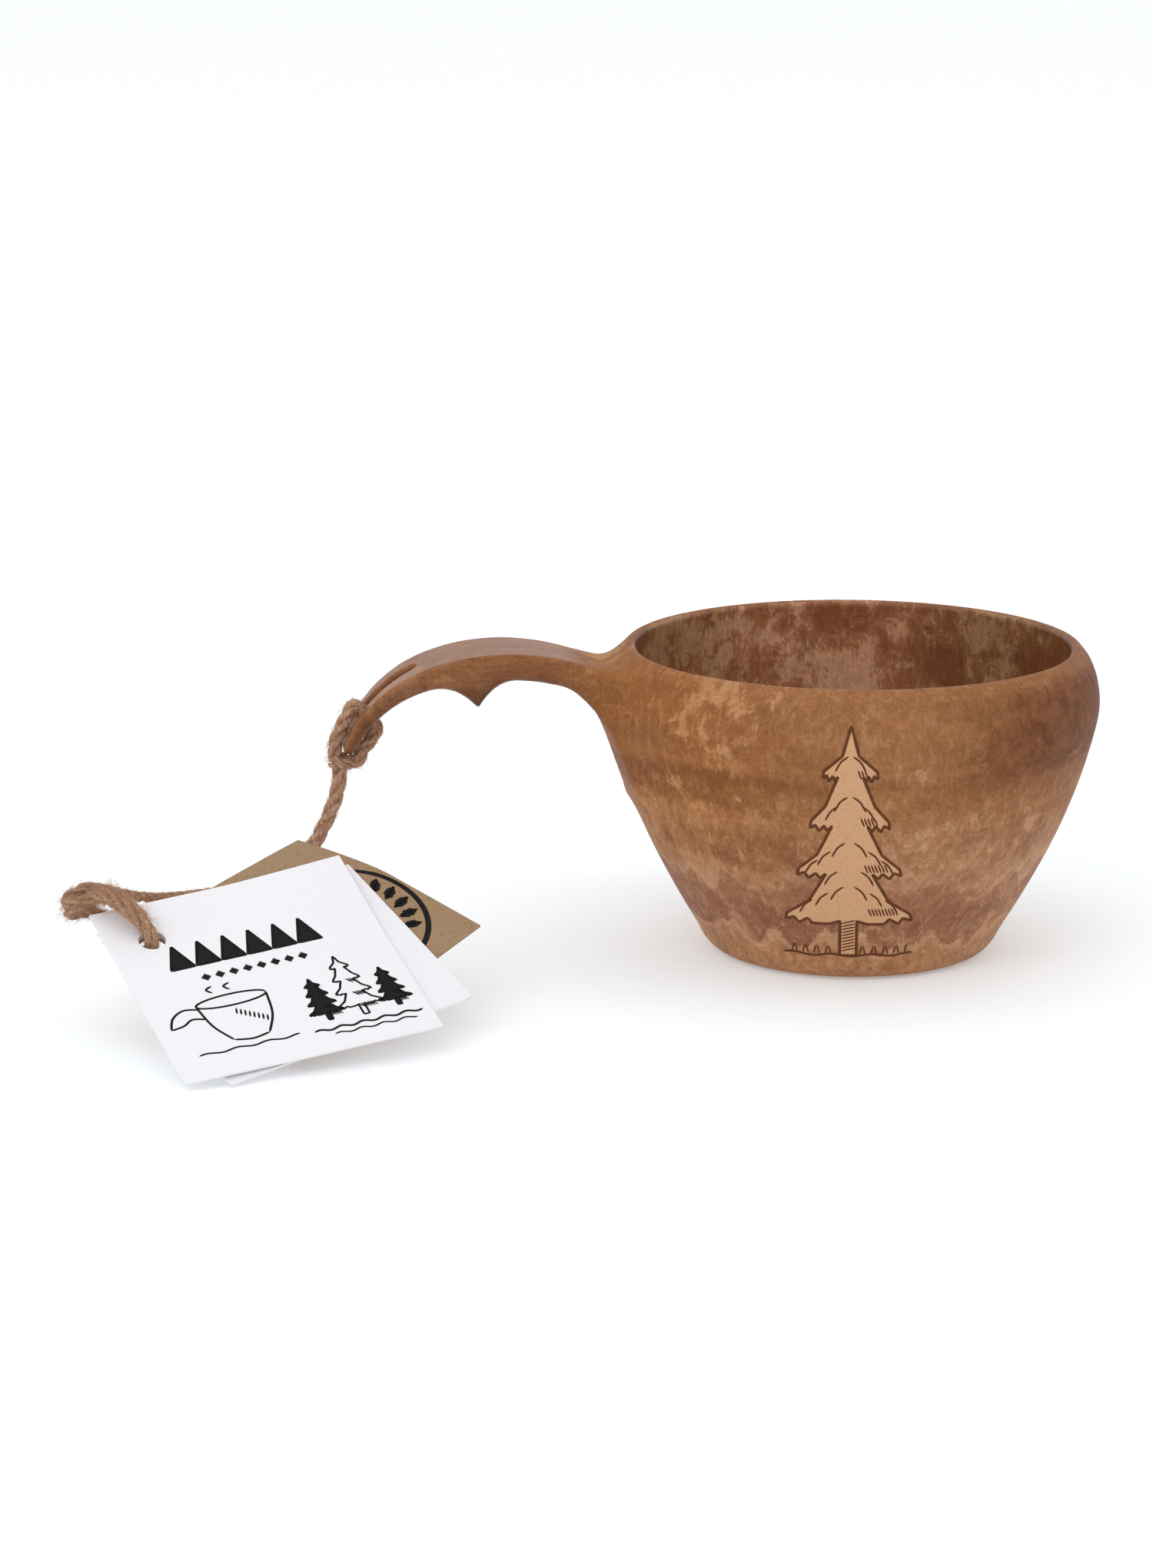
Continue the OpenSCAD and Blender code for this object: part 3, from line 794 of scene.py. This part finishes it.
def punched_card(name, tag, node, body, mat):
    """A thin card with a punched hole, bent a little out of flat, as rows of points round the hole."""
    width, height, left, top, turn, layer = tag
    low, high = np.array([-left, top - height]), np.array([width - left, top])
    corners = [math.atan2(y, x) for x in (low[0], high[0]) for y in (low[1], high[1])]
    spokes = np.linspace(-math.pi, math.pi, CARD_SPOKES, endpoint=False)
    angles = np.sort(np.concatenate([spokes, corners]))
    rays = np.stack([np.cos(angles), np.sin(angles)], 1)
    reach = np.where(rays > 0, high / np.where(rays > 0, rays, 1), low / np.where(rays < 0, rays, -1))
    edge = rays * np.min(np.where(np.abs(rays) > 1e-9, reach, np.inf), axis=1)[:, None]
    hole = rays * HOLE_R
    share = np.linspace(0, 1, CARD_ROWS)[:, None, None]
    sheet = (hole + share * (edge - hole)).reshape(-1, 2)
    middle, half = layer * TAG_PITCH, CARD_T / 2
    front, back = (stack_place(sheet, turn, middle + side * half, layer) for side in (1, -1))
    n = len(angles)
    face = grid_faces(CARD_ROWS, n, closed=True)
    rims = [stack_place(rim, turn, middle + side * half, layer) for rim in (edge, hole)
            for side in (1, -1)]
    points = np.vstack([front, back, *rims])
    base = 2 * CARD_ROWS * n
    faces = np.vstack([face[:, ::-1], face + CARD_ROWS * n, grid_faces(2, n, True, base)[:, ::-1],
                       grid_faces(2, n, True, base + 2 * n)])
    piece = add_mesh(name, points, faces, body, mat)
    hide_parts(node)


punched_card("front_card", FRONT_TAG, "front_tag", "front_tag_body", WHITE_CARD)
punched_card("rear_card", REAR_TAG, "rear_tag", "rear_tag_body", WHITE_CARD)
punched_card("kraft_card", KRAFT_TAG, "kraft_tag", "kraft_tag_body", KRAFT_CARD)


STROKE_STEP = 0.35


def drawn(strokes):
    """Flat strips for lines given as (points, width): their points and quads."""
    points, faces, count = [], [], 0
    for stroke, width in strokes:
        p = even(stroke, STROKE_STEP)
        ahead = unit(np.gradient(p, axis=0))
        side = np.stack([-ahead[:, 1], ahead[:, 0]], 1) * width / 2
        ends = np.minimum(np.arange(len(p)), np.arange(len(p))[::-1])
        side *= np.clip(0.35 + 0.4 * ends, 0, 1)[:, None]
        points.append(np.stack([p - side, p + side], 1).reshape(-1, 2))
        faces.append(grid_faces(len(p), 2)[:, ::-1] + count)
        count += 2 * len(p)
    return np.vstack(points), np.vstack(faces)


def filled(outlines, cell=0.3):
    """Small squares that fill closed outlines: their points and quads."""
    points, faces, count = [], [], 0
    for outline in outlines:
        outline = np.asarray(outline, float)
        low, high = outline.min(0), outline.max(0)
        u, v = (np.arange(a, b + cell, cell) for a, b in zip(low, high))
        grid = np.stack(np.meshgrid(u, v, indexing="ij"), -1).reshape(-1, 2)
        quads = grid_faces(len(u), len(v))[:, ::-1]
        middle = grid[quads].mean(1)
        keep = outline_distance(outline)(middle[:, 0], middle[:, 1])[0] < 0
        points.append(grid)
        faces.append(quads[keep] + count)
        count += len(grid)
    return np.vstack(points), np.vstack(faces)


def spruce(x, y, width, height, tiers=4):
    """Outline of a spruce that stands at (x, y), with drooping ragged tiers and a trunk. Its right half
    is drawn as shares of half its width and of its height."""
    right, step = [(0.0, 1.0)], 0.84 / tiers
    for k in range(tiers):
        wide, bottom = 0.42 + 0.58 * k / (tiers - 1), 1 - (k + 1) * step
        inner = 0.30 * wide if k == 0 else 0.62 * wide
        right += [(inner, bottom + 0.45 * step), (0.97 * wide, bottom + 0.03), (wide, bottom),
                  (0.86 * wide, bottom + 0.014), (0.78 * wide, bottom - 0.012),
                  (0.64 * wide, bottom + 0.012), (0.56 * wide, bottom - 0.010)]
        if k < tiers - 1:
            right.append((0.44 * wide, bottom + 0.012))
    right += [(0.30, 0.15), (0.13, 0.165), (0.13, 0.0)]
    right = np.array(right)
    both = np.vstack([right, right[::-1][:-1] * (-1, 1)])
    return both * (width / 2, height) + (x, y)


def closed(outline):
    return np.vstack([outline, outline[:1]])


def pen(lines, width):
    """Strokes of one width along lines."""
    return [(points, width) for points in lines]


def arc(x, y, rx, ry, start, end, steps=24):
    a = np.radians(np.linspace(start, end, steps))
    return np.stack([x + rx * np.cos(a), y + ry * np.sin(a)], 1)


def wave(x0, x1, y, height, length):
    x = np.linspace(x0, x1, 50)
    return np.stack([x, y + height * np.sin((x - x0) / length * 2 * math.pi)], 1)


# Front card: a row of triangles over a row of diamonds, a plain steaming cup, and spruces by water.
triangles = [[(x, -11.2), (x + 2.8, -3.4), (x + 5.6, -11.2)] for x in np.arange(0.2, 30, 5.9)]
diamonds = [[(x, -15.4), (x + 1.1, -14.2), (x + 2.2, -15.4), (x + 1.1, -16.6)]
            for x in np.arange(5.6, 29, 3.2)]
cup_sides = [[(1, -24), (2.2, -31), (5, -36.5)], [(17, -24), (15.8, -31), (13, -36.5)],
             [(5, -36.5), (9, -37.3), (13, -36.5)]]
cup_handle = [[(1.2, -25), (-2, -24.2), (-5, -26), (-6.6, -29.5)],
              [(1.8, -28.5), (-1.2, -27.6), (-3.6, -29), (-6.6, -29.5)]]
steam = [[(6, -20.8), (5, -19.4), (6.6, -18.6)], [(10, -20.8), (9, -19.4), (10.6, -18.6)]]
cup_lines = [arc(9, -24, 8, 1.8, 0, 360, 50)]
cup_lines += [curve(points, 8) for points in cup_sides + cup_handle + steam]
trees = [spruce(27, -37, 8, 14), spruce(43, -37, 7.5, 13), spruce(35, -37.6, 10, 20)]
shadows = [[(x + 0.7 * k, y), (x + 0.7 * k + 1.3, y - 1.5)] for x, y, n in
           ((34.6, -30, 3), (34.8, -25.6, 2), (34.4, -34, 5), (27, -32, 2), (26.8, -34.4, 4),
            (43, -32.2, 2), (42.8, -34.6, 3)) for k in range(n)]
shadows += [[(x, y), (x - 0.5, y - 1.9)]
            for x, y in zip(np.arange(9, 15.4, 0.8), np.linspace(-27, -31, 8))]
front_strokes = (pen(map(closed, triangles), 0.6) + pen(cup_lines, 0.56)
                 + pen(map(closed, trees), 0.52) + pen(shadows, 0.46)
                 + [(wave(22, 47, -39.8, 0.35, 5), 0.6), (wave(26, 45, -41.6, 0.3, 5), 0.45),
                    (wave(-4, 19, -39.2, 0.3, 7), 0.5)])


def print_on(name, tag, body, shapes):
    """Flat shapes as a layer of ink just off a tag's face."""
    *_, turn, layer = tag
    out = layer * TAG_PITCH + CARD_T / 2 + INK_LIFT
    flat, faces = shapes
    add_mesh(name, stack_place(flat, turn, out, layer), faces, body, BLACK_INK)


print_on("front_drawing", FRONT_TAG, "front_tag_body", drawn(front_strokes))
print_on("front_solids", FRONT_TAG, "front_tag_body", filled([*triangles, *diamonds, *trees[:2]]))

# Kraft card: a wreath of leaves between two rings. A leaf is given as places out and round.
WREATH = np.array([35.5, -25.0])
OUTER_RING_R, LEAVES_R, INNER_RING_R = 18.6, 14.8, 11.2
LEAF = ((-2.7, -0.9), (-1.2, 0.9), (0.6, 1.5), (2.7, 1.0), (1.3, -0.8), (-0.9, -1.5))
leaves = []
for a in np.radians(np.arange(-50, 150, 15.5)):
    outward, forward = np.array([math.cos(a), math.sin(a)]), np.array([-math.sin(a), math.cos(a)])
    leaves.append([WREATH + outward * (LEAVES_R + 0.9 * r) + forward * t for r, t in LEAF])
rings = [(arc(*WREATH, r, r, -75, 165, steps), width)
         for r, steps, width in ((OUTER_RING_R, 90, 1.3), (INNER_RING_R, 70, 0.7))]
veins = pen(([leaf[0], leaf[3]] for leaf in leaves), 0.7)
print_on("kraft_drawing", KRAFT_TAG, "kraft_tag_body", drawn(rings + veins))
print_on("kraft_leaves", KRAFT_TAG, "kraft_tag_body", filled(leaves))


# ---------------------------------------- etched spruce on the bowl
MOTIF_AZIMUTH = math.radians(-100)
TREE_Z, TREE_W, TREE_H = 7, 29, 58
DRAWN_H = 51


def bowl_place(flat, out):
    """Points just off the bowl's wall from (distance round it, height)."""
    u, z = np.asarray(flat, float).T
    radius = np.interp(z, outer_curve[:, 1], outer_curve[:, 0]) + out
    angle = MOTIF_AZIMUTH + u / radius
    return np.stack([radius * np.cos(angle), radius * np.sin(angle), z], 1)


def up(z):
    """Height on this spruce of a place given for one that is DRAWN_H high."""
    return TREE_Z + (z - TREE_Z) * TREE_H / DRAWN_H


big_tree = spruce(0, TREE_Z, TREE_W, TREE_H)
flat, faces = filled([big_tree])
add_mesh("etched_fill", bowl_place(flat, INK_LIFT), faces, "cup_body", ETCHED)
branches = [curve([(s * a, up(z)), (s * (a + 1.7), up(z - 1.2)), (s * (a + 2.9), up(z - 3.2))], 5)
            for a, z in ((0.5, 52), (0.6, 43.5), (2.6, 41.5), (1.0, 33.5), (4.2, 31.5), (7.0, 29.5),
                         (1.2, 23.5), (4.6, 22), (8.2, 20.2), (2.6, 27)) for s in (-1, 1)]
hatch = [[(a + 0.75 * k, up(z)), (a + 0.75 * k + 0.8, up(z - 1.9))] for a, z, n in
         ((1.6, 49.2, 3), (2.4, 39, 5), (3.4, 28.6, 7), (4.4, 18.4, 9)) for k in range(n)]
grass = [[(x, 7.2), (x + 0.5 * (-1) ** k, 9.6)] for k, x in enumerate(np.arange(-13, 14, 1.3))
         if abs(x) > 2.6]
bark = [[(-1.6, z), (1.6, z + 0.9)] for z in np.arange(8.2, 16.2, 0.85)]
ground = wave(-15, 15, 7.0, 0.3, 9)
etch = (pen([closed(big_tree)], 0.68) + pen(branches, 0.45) + pen(grass + hatch, 0.4)
        + pen([ground], 0.6) + pen(bark, 0.36))
flat, faces = drawn(etch)
add_mesh("etched_lines", bowl_place(flat, 2 * INK_LIFT), faces, "cup_body", BURNT)


# ---------------------------------------- camera, floor and light
def facing(name, data, place, aim):
    """New object at a place, turned to face a point."""
    obj = bpy.data.objects.new(name, data)
    bpy.context.scene.collection.objects.link(obj)
    obj.location = place
    obj.rotation_mode = "QUATERNION"
    obj.rotation_quaternion = (Vector(aim) - Vector(place)).to_track_quat("-Z", "Y")
    return obj


CAMERA_POS = (-0.1659, -0.9408, 0.2679)
CAMERA_AIM = (-0.0648, -0.0032, 0.0407)
LENS_MM, SENSOR_MM = 96.25, 36
camera = facing("camera", bpy.data.cameras.new("camera"), CAMERA_POS, CAMERA_AIM)
camera.data.lens, camera.data.sensor_width = LENS_MM, SENSOR_MM
camera.data.clip_start, camera.data.clip_end = 0.01, 60
bpy.context.scene.camera = camera

FLOOR_HALF, FLOOR_Z = 12.0, -0.0001
floor_corners = [(x * FLOOR_HALF, y * FLOOR_HALF, FLOOR_Z)
                 for x, y in ((-1, -1), (1, -1), (1, 1), (-1, 1))]
floor_mesh = bpy.data.meshes.new("floor")
floor_mesh.from_pydata(floor_corners, [], [(0, 1, 2, 3)])
floor = bpy.data.objects.new("floor", floor_mesh)
bpy.context.scene.collection.objects.link(floor)
floor_shader = Shader("pale_floor")
floor.data.materials.append(floor_shader.finish(
    (0.77, 0.80, 0.82, 1), 0.8, **{"Emission Color": (1, 1, 1, 1), "Emission Strength": 0.25,
                                   "Specular IOR Level": 0.1}))


LIGHT_AIM = (-0.05, 0, 0.04)


def softbox(name, place, size, power):
    light = facing(name, bpy.data.lights.new(name, "AREA"), place, LIGHT_AIM)
    light.data.shape, light.data.size, light.data.size_y = "RECTANGLE", *size
    light.data.energy = power


softbox("top_light", (-0.1, 0.1, 1.5), size=(1.6, 1.6), power=2)
softbox("front_left_light", (-0.9, -1.1, 1.1), size=(0.9, 0.9), power=5)
softbox("right_light", (1.2, -0.4, 0.8), size=(0.6, 1.0), power=1)

SKY_COLOR, SKY_STRENGTH = (0.98, 0.99, 1.0, 1), 0.95
world = bpy.data.worlds.new("world")
bpy.context.scene.world = world
world.use_nodes = True
sky = world.node_tree.nodes["Background"].inputs
sky["Color"].default_value = SKY_COLOR
sky["Strength"].default_value = SKY_STRENGTH
bpy.context.scene.view_settings.view_transform = "Standard"
